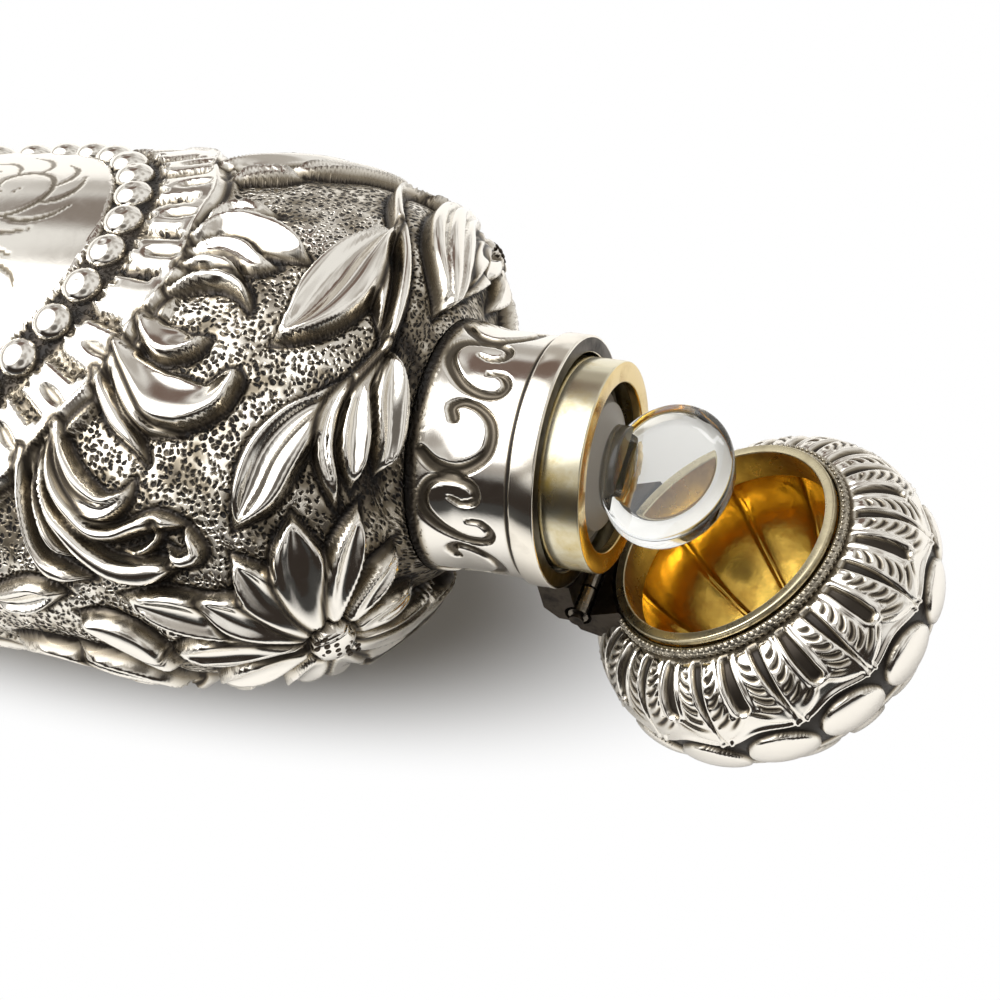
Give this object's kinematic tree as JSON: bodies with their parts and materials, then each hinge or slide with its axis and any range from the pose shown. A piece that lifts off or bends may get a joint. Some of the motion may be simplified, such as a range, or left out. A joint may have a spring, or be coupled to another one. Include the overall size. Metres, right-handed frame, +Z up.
{
  "type": "perfume flask",
  "caption": "Flattened pear-shaped silver perfume flask with a glass liner, a ground glass stopper and a lobed cap hinged at the back of its gilt collar.",
  "frame": {"origin": "bottom centre of the part's box, on the table that the flask lies on", "axes": "+X along the neck in plan, away from the case's tip; +Z up, out of the case's front; +Y completes the right-handed set, along the hinge pin"},
  "size_m": [0.1326, 0.0478, 0.0375],
  "materials": {
    "silver": "polished sterling silver, raised and chased, dark in the recesses",
    "oxidised_silver": "oxidised silver, dull and dark",
    "gilt": "pale silver-gilt, polished",
    "glass": "clear glass, ground dull at the neck joint",
    "plaster": "aged plaster packing"
  },
  "bodies": {
    "flask": {"case_front": "silver", "case_back": "silver", "neck_tube": "silver", "neck_band": "silver", "gilt_collar": "gilt", "glass_bottle": "glass", "neck_packing": "plaster", "neck_hinge_block": "oxidised_silver", "neck_knuckle_1": "silver", "neck_knuckle_2": "silver", "neck_knuckle_3": "silver", "hinge_pin": "silver"},
    "cap": {"cap_shell": "silver", "cap_bezel": "silver", "cap_wire": "silver", "cap_hinge_block": "oxidised_silver", "cap_knuckle_1": "silver", "cap_knuckle_2": "silver"},
    "stopper": {"glass_stopper": "glass"}
  },
  "joints": [
    {"name": "cap_hinge", "type": "hinge", "parent": "flask", "child": "cap", "pos_m": [0.03827, 0, 0.01292], "axis": [0, 1, 0], "range_deg": [-67, 0]},
    {"name": "stopper_lift", "type": "slide", "parent": "flask", "child": "stopper", "axis": [0.9889, 0, 0.1483], "range_m": [0, 0.0025]}
  ]
}
